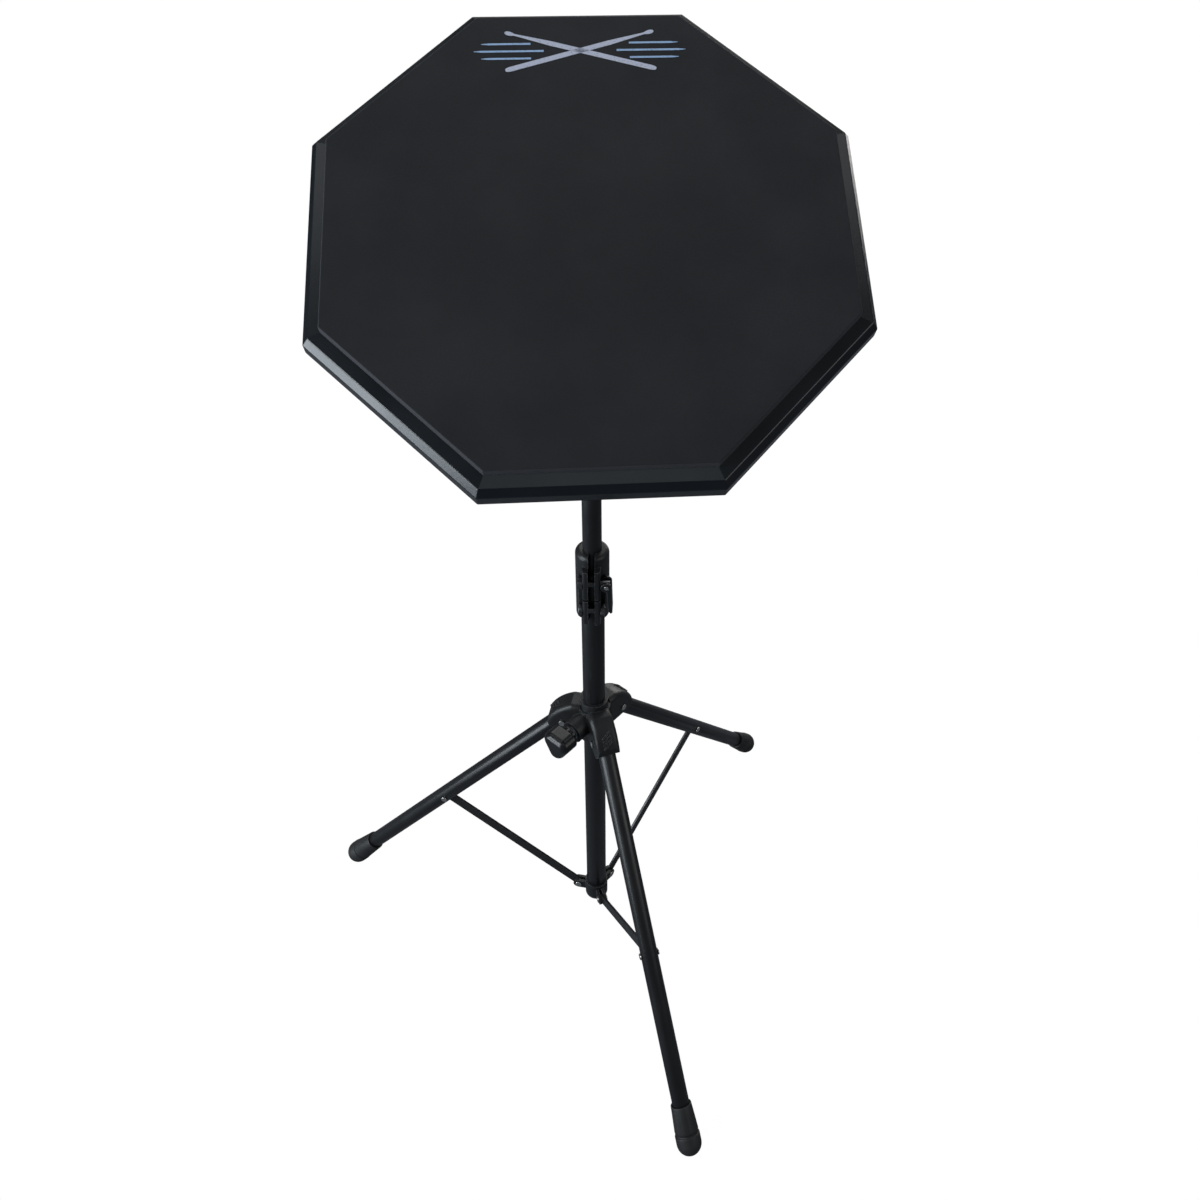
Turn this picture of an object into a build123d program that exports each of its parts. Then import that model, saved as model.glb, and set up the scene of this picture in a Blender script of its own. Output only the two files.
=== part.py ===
from build123d import *
import os
from math import atan2, cos, degrees, hypot, radians, sin

# Octagonal drum practice pad on a folding tripod stand. Millimetres, +Z up.
# The origin is on the floor, on the column's axis. The player sits on the -Y side.

# ---------------------------------------------------------------- driving dimensions

# pad
BOARD_WIDTH = 290.0  # across the flats of the octagon
BOARD_THICK = 15.0
BOARD_SIDE = 9.0  # height of the upright edge band
BEVEL_RISE = 4.5  # steep bevel above the edge band
BEVEL_RUN = 3.0
LEDGE_RUN = 6.5  # gently sloping ledge from the bevel to the rubber
BOARD_EDGE_ROUND = 2.0
RUBBER_THICK = 5.0
RUBBER_EDGE_ROUND = 0.8
PAD_TILT = 30.0  # towards the player, at rest
PIVOT_HEIGHT = 612.0
PIVOT_TO_BOARD = 16.0

# mounting of the pad, as heights above the tilt pivot and radii
INSERT_RADIUS = 5.5
INSERT_LENGTH = 12.0
INSERT_FLANGE_RADIUS = 8.0
INSERT_FLANGE_THICK = 1.2
PAD_STUD_RADIUS = 4.0
PAD_STUD_START = 4.0
PAD_STUD_END = 26.0
PAD_NUT_FLAT = 13.0
PAD_NUT_START = 8.2
PAD_NUT_END = 14.6
PAD_WASHER_RADIUS = 12.0

# tubes
UPPER_TUBE_RADIUS = 6.35
LOWER_TUBE_RADIUS = 8.0
LEG_TUBE_RADIUS = 6.35
TUBE_WALL = 1.2
UPPER_TUBE_BOTTOM = 205.0
UPPER_TUBE_TOP = 592.0
LOWER_TUBE_BOTTOM = 15.0
LOWER_TUBE_TOP = 378.0
RUN_GAP = 0.05  # radial clearance of a running fit
BUSH_LENGTH = 15.0
BUSH_SPIGOT = 12.0

# clamp collar
CLAMP_FACING = 264.0  # azimuth that the clamp's slit faces
CLAMP_BOTTOM = 348.0
CLAMP_TOP = 405.0
CLAMP_RADIUS = 11.3
CLAMP_SLIT = 4.4
EAR_REACH = 16.0
EAR_HALF_WIDTH = 6.0
UPPER_EARS = (373.0, 397.0)
LOWER_EARS = (350.0, 371.0)
CLAMP_BOLT_RADIUS = 2.5
CLAMP_BOLT_REACH = 11.6
UPPER_BOLT_HEIGHT = 384.0
LOWER_BOLT_HEIGHT = 360.0
CAM_RADIUS = 3.6
CAM_CENTRE = 9.8  # to the right of the column's axis
CAM_PIN_RADIUS = 1.5
CLAMP_HEAD_THICK = 3.0
CLAMP_HEAD_RADIUS = 4.2
LEVER_WIDTH = 9.0
LEVER_SLOT = 5.2
CAM_SLOT_OVER = 1.2
LEVER_END = 361.0
LEVER_INNER = 0.2
LEVER_TAPER = 0.6
LEVER_HOOK = 2.2
COLLAR_TOP_ROUND = 3.6
COLLAR_BOTTOM_ROUND = 1.5
EAR_CORNER = 2.0
PINCH_NUT_FLAT = 7.8
PINCH_NUT_THICK = 2.6
PINCH_BOLT_OVER = 3.0  # beyond the ears, through the nut
CAM_BOLT_OVER = 1.0  # beyond the eye
FLAT_MIDDLE = -13.0  # flats beside the ears, for the bolt head and the lever
FLAT_DEPTH = 12.0
FLAT_ABOVE_BOLT = 5.5

# hub and legs
LEG_AZIMUTHS = (165.3, 285.3, 45.3)
LEG_ANGLE = 40.3  # from the vertical, legs spread
LEG_PIVOT_REACH = 22.5
LEG_PIVOT_HEIGHT = 236.3
FOLD_TRAVEL = 36.0  # room for each leg's swing, half a degree more than it turns
HUB_BOTTOM = 222.0
HOOD_BOTTOM = 230.0
HUB_TOP = 260.0
BARREL_RADIUS = 12.0
COLLAR_RADIUS = 10.3
HOOD_HALF_WIDTH = 8.9
LEG_SLOT_HALF = 6.55
LEG_CLEARANCE = 0.15  # around a swinging leg
SWEEP_DEPTH = 45.0  # how far below the pivot the room for the leg is cut
LEG_PIN_RADIUS = 2.0
LEG_TOP_OVER = 6.0  # tube beyond the pivot pin
PLUG_DEPTH = 14.0
PLUG_CAP_THICK = 1.6
PLUG_CAP_ROUND = 1.2
PLUG_CAP_LESS = 0.6  # cap radius under the tube's
LEG_TUBE_END = 292.0  # along the leg from the pivot pin
FOOT_RADIUS = 9.25
FOOT_LENGTH = 38.0
FOOT_FLAT = 0.6  # worn off the ball where it stands
FOOT_WALL = 1.3
FOOT_FLARE_LESS = 0.4
GROOVE_DEPTH = 1.2
GROOVE_REACH = (9.0, 8.4, 7.2, 6.4)  # from the ball's centre to each corner of the groove
HOOD_ROOT = 9.0
HOOD_CROWN_START = 16.0
HOOD_CROWN = (26.0, 249.0)  # reach and height of points on the hood's side view
HOOD_NOSE = (33.5, 239.5)
HOOD_CHEEK = ((34.0, 234.0), (31.0, 230.0))  # lower front corners
HOOD_UNDER_END = 26.0
BARREL_DROP = 7.0  # shoulder below the collar's top
PIN_HEAD_OVER = 0.5
PIN_HEAD_THICK = 1.0
SLOT_ROOF_RADIUS = 9.8
HOOD_TOP = 255.0
HOOD_ROUND = 4.0
RIB_COUNT = 4
RIB_START = 0.56  # share of the crown's arc
RIB_STEP = 0.105
RIB_LENGTH = 8.0
RIB_WIDTH = 1.2
RIB_HEIGHT = 0.8
RIB_SLANT = 35.0

# hub knob
KNOB_AZIMUTH = 225.0
KNOB_HEIGHT = 242.0
LOBE_RADIUS = 6.5
LOBE_REACH = 5.5
LOBE_START = 60.0
KNOB_ROUND = 5.0
KNOB_BACK_ROUND = 1.5
KNOB_NECK_RADIUS = 6.0
KNOB_NECK_LENGTH = 4.0
KNOB_GRIP = 8.0  # length of stud inside the knob
KNOB_INNER = 30.0
KNOB_OUTER = 44.0
BOSS_RADIUS = 8.5
BOSS_REACH = 24.0
STUD_RADIUS = 3.0
NUT_FLAT = 10.0
NUT_THICK = 5.0
LOBE_COUNT = 3
PAD_TIP_THICK = 2.5
PAD_TIP_LESS = 0.2  # pressure tip radius under the stud's

# braces and spider
BRACE_LEG_REACH = 125.0
SPIDER_PIN_REACH = 15.0
SPIDER_PIN_HEIGHT = 22.0
STRIP_HEIGHT = 8.0
STRIP_THICK = 2.0
STRIP_GAP = 0.2  # beside the strip, between the ears and in the leg's slot
RIVET_RADIUS = 1.5
RIVET_HEAD_RADIUS = 2.8
BRACE_HEAD_RADIUS = 2.4
RIVET_HEAD_THICK = 1.0
SPIDER_RADIUS = 9.3
SPIDER_BOTTOM = 12.0
SPIDER_TOP = 30.0
SPIDER_EAR_THICK = 2.0
SPIDER_EAR_RADIUS = 4.5
SPIDER_ROUND = 2.0
SLOT_BEFORE = 5.5  # leg slot from the rivet towards the pivot
SLOT_BEYOND = 46.0  # and towards the foot

# tilt joint, along X from the column's axis
HEAD_HALF = 7.5
EAR_INNER = 8.3
EAR_OUTER = 12.3
TILT_BOLT_RADIUS = 3.0
TILT_EAR_RADIUS = 8.5
TILT_HEAD_RADIUS = 7.6
WASHER_LESS = 0.4  # friction washer radius under the head's
WING_REACH = 14.0
HEAD_TOP = 8.0
FORK_BASE_TOP = 602.0
FORK_SPIGOT = 17.0
FORK_RIVET_HEIGHT = 583.0
TILT_KNOB_START = 13.35
TILT_KNOB_END = 25.0
TILT_BOLT_END = 27.0
TILT_BOLT_HEAD = 4.0
TILT_BOLT_FLAT = 10.0
TILT_KNOB_RADIUS = 6.5
WING_WIDTH = 7.0
WING_INSET = 3.0
WING_THICK = 7.65

os.makedirs("parts", exist_ok=True)

# ---------------------------------------------------------------- worked-out frames


def unit(azimuth):
    """Horizontal unit vector at an azimuth."""
    return Vector(cos(radians(azimuth)), sin(radians(azimuth)), 0)


def upright_plane(azimuth, reach=0.0, height=0.0):
    """Plane with x outward along the azimuth and y up."""
    outward = unit(azimuth)
    origin = outward * reach + Vector(0, 0, height)
    return Plane(origin=origin, x_dir=outward, z_dir=outward.cross(Vector(0, 0, 1)))


def axis_plane(azimuth, reach, height):
    """Plane across a horizontal axis that points outward along the azimuth, x upward."""
    outward = unit(azimuth)
    return Plane(origin=outward * reach + Vector(0, 0, height), x_dir=(0, 0, 1), z_dir=outward)


def save(piece, name):
    """Label a finished sub-part and write its file."""
    piece.part.label = name
    export_step(piece.part, f"parts/{name}.step")


leg_sin = sin(radians(LEG_ANGLE))
leg_cos = cos(radians(LEG_ANGLE))
pad_up = Vector(0, -sin(radians(PAD_TILT)), cos(radians(PAD_TILT)))
tilt_pivot = Vector(0, 0, PIVOT_HEIGHT)


def pad_plane(height):
    """Plane parallel to the pad, at a height above the tilt pivot."""
    return Plane(origin=tilt_pivot + pad_up * height, x_dir=(1, 0, 0), z_dir=pad_up)


def cross_plane(x):
    """Upright plane across the tilt axis, with x level and its normal along +X."""
    return Plane(origin=tilt_pivot + Vector(x, 0, 0), x_dir=(0, 1, 0), z_dir=(1, 0, 0))


def leg_plane(azimuth, along=0.0):
    """Plane across a leg at a distance from its pivot, facing the foot, x to the leg's upper side."""
    outward = unit(azimuth)
    down_leg = outward * leg_sin - Vector(0, 0, leg_cos)
    upper_side = outward * leg_cos + Vector(0, 0, leg_sin)
    origin = outward * LEG_PIVOT_REACH + Vector(0, 0, LEG_PIVOT_HEIGHT) + down_leg * along
    return Plane(origin=origin, x_dir=upper_side, z_dir=down_leg)


brace_along = (BRACE_LEG_REACH - LEG_PIVOT_REACH) / leg_sin
brace_leg_height = LEG_PIVOT_HEIGHT - brace_along * leg_cos
brace_run = BRACE_LEG_REACH - SPIDER_PIN_REACH
brace_rise = brace_leg_height - SPIDER_PIN_HEIGHT
brace_length = hypot(brace_run, brace_rise)
brace_slope = degrees(atan2(brace_rise, brace_run))

# ---------------------------------------------------------------- pad


def octagon(width, plane):
    """Octagon with its flats facing the player, given across the flats."""
    with BuildSketch(plane) as outline:
        RegularPolygon(radius=width / 2, side_count=8, major_radius=False, rotation=22.5)
    return outline


def make_board():
    """Board with an upright edge band, a steep bevel and a gently sloping ledge up to the rubber."""
    bottom = PIVOT_TO_BOARD
    side_top = bottom + BOARD_SIDE
    ledge_start = side_top + BEVEL_RISE
    board_top = bottom + BOARD_THICK
    ledge_width = BOARD_WIDTH - 2 * BEVEL_RUN
    top_width = ledge_width - 2 * LEDGE_RUN
    side_outline = octagon(BOARD_WIDTH, pad_plane(side_top))
    ledge_outline = octagon(ledge_width, pad_plane(ledge_start))
    top_outline = octagon(top_width, pad_plane(board_top))
    with BuildPart() as board:
        extrude(octagon(BOARD_WIDTH, pad_plane(bottom)).sketch, amount=BOARD_SIDE)
        bottom_edges = board.faces().sort_by(Axis(tilt_pivot, pad_up))[0].edges()
        fillet(bottom_edges, BOARD_EDGE_ROUND)
        loft([side_outline.sketch, ledge_outline.sketch])
        loft([ledge_outline.sketch, top_outline.sketch])
        with BuildSketch(pad_plane(bottom)):
            Circle(INSERT_FLANGE_RADIUS)
        extrude(amount=INSERT_FLANGE_THICK, mode=Mode.SUBTRACT)
        with BuildSketch(pad_plane(bottom)):
            Circle(INSERT_RADIUS)
        extrude(amount=INSERT_LENGTH, mode=Mode.SUBTRACT)
    save(board, "board")
    return top_width


def make_rubber(width):
    """Rubber playing sheet glued on the board's flat top."""
    with BuildPart() as rubber:
        extrude(octagon(width, pad_plane(PIVOT_TO_BOARD + BOARD_THICK)).sketch, amount=RUBBER_THICK)
        top_edges = rubber.faces().sort_by(Axis(tilt_pivot, pad_up))[-1].edges()
        fillet(top_edges, RUBBER_EDGE_ROUND)
    save(rubber, "rubber_sheet")


def disc_on_pad(radius, start, end, hole=0.0):
    """Round piece standing square to the pad, between two heights above the tilt pivot."""
    with BuildPart() as disc:
        with BuildSketch(pad_plane(start)):
            Circle(radius)
            if hole:
                Circle(hole, mode=Mode.SUBTRACT)
        extrude(amount=end - start)
    return disc


def make_pad_mounting():
    """Threaded insert in the board, stud, lock nut and washer."""
    bottom = PIVOT_TO_BOARD
    thread_hole = PAD_STUD_RADIUS + RUN_GAP
    with BuildPart() as insert:
        with BuildSketch(pad_plane(bottom)):
            Circle(INSERT_FLANGE_RADIUS)
        extrude(amount=INSERT_FLANGE_THICK)
        with BuildSketch(pad_plane(bottom)):
            Circle(INSERT_RADIUS)
        extrude(amount=INSERT_LENGTH)
        with BuildSketch(pad_plane(bottom)):
            Circle(thread_hole)
        extrude(amount=INSERT_LENGTH, mode=Mode.SUBTRACT)
    save(insert, "threaded_insert")

    stud = disc_on_pad(PAD_STUD_RADIUS, PAD_STUD_START, PAD_STUD_END)
    save(stud, "mounting_stud")
    washer = disc_on_pad(PAD_WASHER_RADIUS, PAD_NUT_END, bottom, thread_hole)
    save(washer, "mounting_washer")

    with BuildPart() as nut:
        with BuildSketch(pad_plane(PAD_NUT_START)):
            RegularPolygon(radius=PAD_NUT_FLAT / 2, side_count=6, major_radius=False)
            Circle(thread_hole, mode=Mode.SUBTRACT)
        extrude(amount=PAD_NUT_END - PAD_NUT_START)
    save(nut, "lock_nut")


# ---------------------------------------------------------------- tilt joint


def make_tilt_head():
    """Round-ended block on the pad's stud, which turns on the tilt bolt."""
    with BuildPart() as head:
        with BuildSketch(cross_plane(0)):
            Circle(TILT_HEAD_RADIUS)
        extrude(amount=HEAD_HALF, both=True)
        with BuildSketch(pad_plane(0)):
            Rectangle(2 * HEAD_HALF, 2 * TILT_HEAD_RADIUS)
        extrude(amount=HEAD_TOP)
        with BuildSketch(cross_plane(0)):
            Circle(TILT_BOLT_RADIUS + RUN_GAP)
        extrude(amount=HEAD_HALF, both=True, mode=Mode.SUBTRACT)
        with BuildSketch(pad_plane(PAD_STUD_START)):
            Circle(PAD_STUD_RADIUS)
        extrude(amount=HEAD_TOP - PAD_STUD_START, mode=Mode.SUBTRACT)
    save(head, "tilt_head")


def make_tilt_fork():
    """Two-eared plug in the top of the upper tube."""
    ear_thick = EAR_OUTER - EAR_INNER
    with BuildPart() as fork:
        with BuildSketch(Plane.XY.offset(UPPER_TUBE_TOP)):
            Circle(EAR_OUTER)
            Rectangle(2 * EAR_OUTER, 2 * TILT_EAR_RADIUS, mode=Mode.INTERSECT)
        extrude(amount=FORK_BASE_TOP - UPPER_TUBE_TOP)
        for side in (EAR_INNER, -EAR_OUTER):
            with BuildSketch(cross_plane(side)):
                Circle(TILT_EAR_RADIUS)
                with Locations((0, (FORK_BASE_TOP - PIVOT_HEIGHT) / 2)):
                    Rectangle(2 * TILT_EAR_RADIUS, PIVOT_HEIGHT - FORK_BASE_TOP)
            extrude(amount=ear_thick)
        with BuildSketch(Plane.XY.offset(UPPER_TUBE_TOP)):
            Circle(UPPER_TUBE_RADIUS - TUBE_WALL)
        extrude(amount=-FORK_SPIGOT)
        with BuildSketch(cross_plane(0)):
            Circle(TILT_BOLT_RADIUS)
        extrude(amount=EAR_OUTER, both=True, mode=Mode.SUBTRACT)
        with BuildSketch(Plane.YZ):
            with Locations((0, FORK_RIVET_HEIGHT)):
                Circle(RIVET_RADIUS)
        extrude(amount=UPPER_TUBE_RADIUS, both=True, mode=Mode.SUBTRACT)
    save(fork, "tilt_fork")


def make_tilt_hardware():
    """Bolt, friction washers, steel washer, wing knob and the fork's rivet."""
    bolt_hole = TILT_BOLT_RADIUS + RUN_GAP
    with BuildPart() as bolt:
        with BuildSketch(cross_plane(-EAR_OUTER)):
            Circle(TILT_BOLT_RADIUS)
        extrude(amount=EAR_OUTER + TILT_BOLT_END)
        with BuildSketch(cross_plane(-EAR_OUTER)):
            RegularPolygon(radius=TILT_BOLT_FLAT / 2, side_count=6, major_radius=False)
        extrude(amount=-TILT_BOLT_HEAD)
    save(bolt, "tilt_bolt")

    washer_thick = EAR_INNER - HEAD_HALF - RUN_GAP
    with BuildPart() as friction_washers:
        for start, way in ((EAR_INNER, -1), (-EAR_INNER, 1)):
            with BuildSketch(cross_plane(start)):
                Circle(TILT_HEAD_RADIUS - WASHER_LESS)
                Circle(bolt_hole, mode=Mode.SUBTRACT)
            extrude(amount=way * washer_thick)
    save(friction_washers, "friction_washers")

    with BuildPart() as washer:
        with BuildSketch(cross_plane(EAR_OUTER)):
            Circle(TILT_BOLT_RADIUS * 2)
            Circle(bolt_hole, mode=Mode.SUBTRACT)
        extrude(amount=TILT_KNOB_START - EAR_OUTER - RUN_GAP)
    save(washer, "tilt_washer")

    with BuildPart() as knob:
        with BuildSketch(cross_plane(TILT_KNOB_START)):
            Circle(TILT_KNOB_RADIUS)
        extrude(amount=TILT_KNOB_END - TILT_KNOB_START)
        with BuildSketch(cross_plane(TILT_KNOB_START + WING_INSET)):
            SlotOverall(2 * WING_REACH, WING_WIDTH)
        extrude(amount=WING_THICK)
        with BuildSketch(cross_plane(TILT_KNOB_START)):
            Circle(bolt_hole)
        extrude(amount=TILT_KNOB_END, mode=Mode.SUBTRACT)
    save(knob, "tilt_knob")

    with BuildPart() as rivet:
        with BuildSketch(Plane.YZ):
            with Locations((0, FORK_RIVET_HEIGHT)):
                Circle(RIVET_RADIUS)
        extrude(amount=UPPER_TUBE_RADIUS + RIVET_HEAD_THICK, both=True)
        for side in (1, -1):
            with BuildSketch(Plane.YZ.offset(side * UPPER_TUBE_RADIUS)):
                with Locations((0, FORK_RIVET_HEIGHT)):
                    Circle(RIVET_HEAD_RADIUS)
            extrude(amount=side * RIVET_HEAD_THICK)
        # the heads seat on the round tube
        with BuildSketch(Plane.XY.offset(FORK_RIVET_HEIGHT)):
            Circle(UPPER_TUBE_RADIUS)
            Circle(UPPER_TUBE_RADIUS - TUBE_WALL, mode=Mode.SUBTRACT)
            Rectangle(2 * UPPER_TUBE_RADIUS, 2 * RIVET_RADIUS, mode=Mode.SUBTRACT)
        extrude(amount=RIVET_HEAD_RADIUS, both=True, mode=Mode.SUBTRACT)
    save(rivet, "fork_rivet")


# ---------------------------------------------------------------- column


def make_column_tubes():
    """Telescopic column: upper tube, its glide bush, lower tube."""
    with BuildPart() as upper:
        with BuildSketch(Plane.XY.offset(UPPER_TUBE_BOTTOM)):
            Circle(UPPER_TUBE_RADIUS)
            Circle(UPPER_TUBE_RADIUS - TUBE_WALL, mode=Mode.SUBTRACT)
        extrude(amount=UPPER_TUBE_TOP - UPPER_TUBE_BOTTOM)
        with BuildSketch(Plane.YZ):
            with Locations((0, FORK_RIVET_HEIGHT)):
                Circle(RIVET_RADIUS)
        extrude(amount=UPPER_TUBE_RADIUS, both=True, mode=Mode.SUBTRACT)
    save(upper, "upper_tube")

    with BuildPart() as bush:
        with BuildSketch(Plane.XY.offset(UPPER_TUBE_BOTTOM - BUSH_LENGTH)):
            Circle(LOWER_TUBE_RADIUS - TUBE_WALL - RUN_GAP)
        extrude(amount=BUSH_LENGTH - RUN_GAP)
        with BuildSketch(Plane.XY.offset(UPPER_TUBE_BOTTOM - RUN_GAP)):
            Circle(UPPER_TUBE_RADIUS - TUBE_WALL - RUN_GAP)
        extrude(amount=BUSH_SPIGOT)
    save(bush, "glide_bush")

    with BuildPart() as lower:
        with BuildSketch(Plane.XY.offset(LOWER_TUBE_BOTTOM)):
            Circle(LOWER_TUBE_RADIUS)
            Circle(LOWER_TUBE_RADIUS - TUBE_WALL, mode=Mode.SUBTRACT)
        extrude(amount=LOWER_TUBE_TOP - LOWER_TUBE_BOTTOM)
    save(lower, "lower_tube")


# ---------------------------------------------------------------- height clamp


def clamp_plane(height):
    """Level plane of the clamp, x to its right-hand side, y to its back."""
    return Plane(origin=(0, 0, height), x_dir=unit(CLAMP_FACING + 90), z_dir=(0, 0, 1))


def clamp_side_plane(right):
    """Upright plane across the clamp bolts, x forward out of the slit, y up."""
    facing = unit(CLAMP_FACING)
    origin = unit(CLAMP_FACING + 90) * right
    return Plane(origin=origin, x_dir=facing, z_dir=facing.cross(Vector(0, 0, 1)))


def make_clamp_collar():
    """Split plastic collar on the lower tube that grips the upper tube."""
    with BuildPart() as collar:
        with BuildSketch(clamp_plane(CLAMP_BOTTOM)):
            Circle(CLAMP_RADIUS)
        extrude(amount=CLAMP_TOP - CLAMP_BOTTOM)
        fillet(collar.faces().sort_by(Axis.Z)[-1].edges(), COLLAR_TOP_ROUND)
        fillet(collar.faces().sort_by(Axis.Z)[0].edges(), COLLAR_BOTTOM_ROUND)
        for low, high in (UPPER_EARS, LOWER_EARS):
            with BuildSketch(clamp_plane(low)):
                with Locations((0, -EAR_REACH / 2)):
                    RectangleRounded(2 * EAR_HALF_WIDTH, EAR_REACH, EAR_CORNER)
            extrude(amount=high - low)
        flat_middle = EAR_HALF_WIDTH + CLAMP_RADIUS / 2
        with BuildSketch(clamp_plane(CLAMP_BOTTOM)):
            with Locations((flat_middle, FLAT_MIDDLE), (-flat_middle, FLAT_MIDDLE)):
                Rectangle(CLAMP_RADIUS, FLAT_DEPTH)
        extrude(amount=UPPER_BOLT_HEIGHT + FLAT_ABOVE_BOLT - CLAMP_BOTTOM, mode=Mode.SUBTRACT)
        with BuildSketch(clamp_plane(CLAMP_BOTTOM)):
            with Locations((0, -EAR_REACH / 2)):
                Rectangle(CLAMP_SLIT, EAR_REACH)
        extrude(amount=CLAMP_TOP - CLAMP_BOTTOM, mode=Mode.SUBTRACT)
        with BuildSketch(clamp_plane(CLAMP_BOTTOM)):
            Circle(LOWER_TUBE_RADIUS)
        extrude(amount=LOWER_TUBE_TOP - CLAMP_BOTTOM, mode=Mode.SUBTRACT)
        with BuildSketch(clamp_plane(CLAMP_BOTTOM)):
            Circle(UPPER_TUBE_RADIUS + RUN_GAP)
        extrude(amount=CLAMP_TOP - CLAMP_BOTTOM, mode=Mode.SUBTRACT)
        with BuildSketch(clamp_side_plane(0)):
            with Locations((CLAMP_BOLT_REACH, UPPER_BOLT_HEIGHT), (CLAMP_BOLT_REACH, LOWER_BOLT_HEIGHT)):
                Circle(CLAMP_BOLT_RADIUS)
        extrude(amount=EAR_HALF_WIDTH, both=True, mode=Mode.SUBTRACT)
    save(collar, "clamp_collar")


def make_clamp_bolts():
    """Upper pinch bolt with an eye for the cam pin, lower pinch bolt with a nut."""
    left_face = -EAR_HALF_WIDTH
    with BuildPart() as cam_bolt:
        with BuildSketch(clamp_side_plane(left_face)):
            with Locations((CLAMP_BOLT_REACH, UPPER_BOLT_HEIGHT)):
                Circle(CLAMP_BOLT_RADIUS)
        extrude(amount=-(CAM_CENTRE + CAM_PIN_RADIUS + CAM_BOLT_OVER - left_face))
        with BuildSketch(clamp_side_plane(left_face)):
            with Locations((CLAMP_BOLT_REACH, UPPER_BOLT_HEIGHT)):
                Circle(CLAMP_HEAD_RADIUS)
        extrude(amount=CLAMP_HEAD_THICK)
        with BuildSketch(cam_pin_plane()):
            Circle(CAM_PIN_RADIUS + RUN_GAP)
        extrude(amount=LEVER_WIDTH, both=True, mode=Mode.SUBTRACT)
    save(cam_bolt, "cam_bolt")

    with BuildPart() as pinch_bolt:
        with BuildSketch(clamp_side_plane(left_face)):
            with Locations((CLAMP_BOLT_REACH, LOWER_BOLT_HEIGHT)):
                Circle(CLAMP_BOLT_RADIUS)
        extrude(amount=-(2 * EAR_HALF_WIDTH + PINCH_BOLT_OVER))
        with BuildSketch(clamp_side_plane(left_face)):
            with Locations((CLAMP_BOLT_REACH, LOWER_BOLT_HEIGHT)):
                Circle(CLAMP_HEAD_RADIUS)
        extrude(amount=CLAMP_HEAD_THICK)
    save(pinch_bolt, "pinch_bolt")

    with BuildPart() as nut:
        with BuildSketch(clamp_side_plane(EAR_HALF_WIDTH)):
            with Locations((CLAMP_BOLT_REACH, LOWER_BOLT_HEIGHT)):
                RegularPolygon(radius=PINCH_NUT_FLAT / 2, side_count=6, major_radius=False)
                Circle(CLAMP_BOLT_RADIUS, mode=Mode.SUBTRACT)
        extrude(amount=-PINCH_NUT_THICK)
    save(nut, "pinch_nut")


def cam_pin_plane():
    """Plane across the middle of the cam pin, which lies level and points forward."""
    origin = unit(CLAMP_FACING + 90) * CAM_CENTRE
    origin = origin + unit(CLAMP_FACING) * CLAMP_BOLT_REACH
    origin = origin + Vector(0, 0, UPPER_BOLT_HEIGHT)
    return Plane(origin=origin, x_dir=unit(CLAMP_FACING + 90), z_dir=unit(CLAMP_FACING))


def lever_profile(drop):
    """Front view of the lever's blade, from the cam's centre down to its hooked tip."""
    inner_top = (LEVER_INNER, 0)
    outer_top = (CAM_RADIUS, 0)
    outer_low = (CAM_RADIUS + LEVER_TAPER, -drop + 2 * LEVER_TAPER)
    tip = (CAM_RADIUS - LEVER_TAPER, -drop)
    hook = (CAM_RADIUS - LEVER_HOOK, -drop + LEVER_HOOK)
    inner_middle = (LEVER_INNER + LEVER_TAPER, -drop / 2)
    return [inner_top, outer_top, outer_low, tip, hook, inner_middle]


def make_cam_lever():
    """Forked cam lever that hangs down beside the collar, and its pin."""
    drop = UPPER_BOLT_HEIGHT - LEVER_END
    with BuildPart() as lever:
        with BuildSketch(cam_pin_plane()):
            Circle(CAM_RADIUS)
        extrude(amount=LEVER_WIDTH / 2, both=True)
        with BuildSketch(cam_pin_plane()):
            with BuildLine():
                Polyline(*lever_profile(drop), close=True)
            make_face()
        extrude(amount=LEVER_WIDTH / 2, both=True)
        with BuildSketch(cam_pin_plane()):
            Circle(CAM_RADIUS + CAM_SLOT_OVER)
        extrude(amount=LEVER_SLOT / 2, both=True, mode=Mode.SUBTRACT)
        with BuildSketch(cam_pin_plane()):
            Circle(CAM_PIN_RADIUS)
        extrude(amount=LEVER_WIDTH, both=True, mode=Mode.SUBTRACT)
    save(lever, "clamp_lever")

    with BuildPart() as pin:
        with BuildSketch(cam_pin_plane()):
            Circle(CAM_PIN_RADIUS)
        extrude(amount=LEVER_WIDTH / 2, both=True)
    save(pin, "cam_pin")


# ---------------------------------------------------------------- hub


def leg_sweep_profile():
    """Side view of the room that a leg needs, from spread to folded."""
    folded = radians(LEG_ANGLE - FOLD_TRAVEL)
    clear = LEG_TUBE_RADIUS + LEG_CLEARANCE
    depth = SWEEP_DEPTH
    pin_x = LEG_PIVOT_REACH
    pin_y = LEG_PIVOT_HEIGHT
    outer_top = (pin_x + clear * leg_cos, pin_y + clear * leg_sin)
    outer_low = (outer_top[0] + depth * leg_sin, outer_top[1] - depth * leg_cos)
    inner_top = (pin_x - clear * cos(folded), pin_y - clear * sin(folded))
    inner_low = (inner_top[0] + depth * sin(folded), inner_top[1] - depth * cos(folded))
    return [outer_top, outer_low, inner_low, inner_top]


def rib_plane(frame, spot, heading):
    """Plane on a hood's crown, facing out, with x across the hood."""
    origin = frame.from_local_coords(Vector(spot.X, spot.Y, 0))
    outward = frame.x_dir * -heading.Y + frame.y_dir * heading.X
    return Plane(origin=origin, x_dir=frame.z_dir, z_dir=outward)


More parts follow.
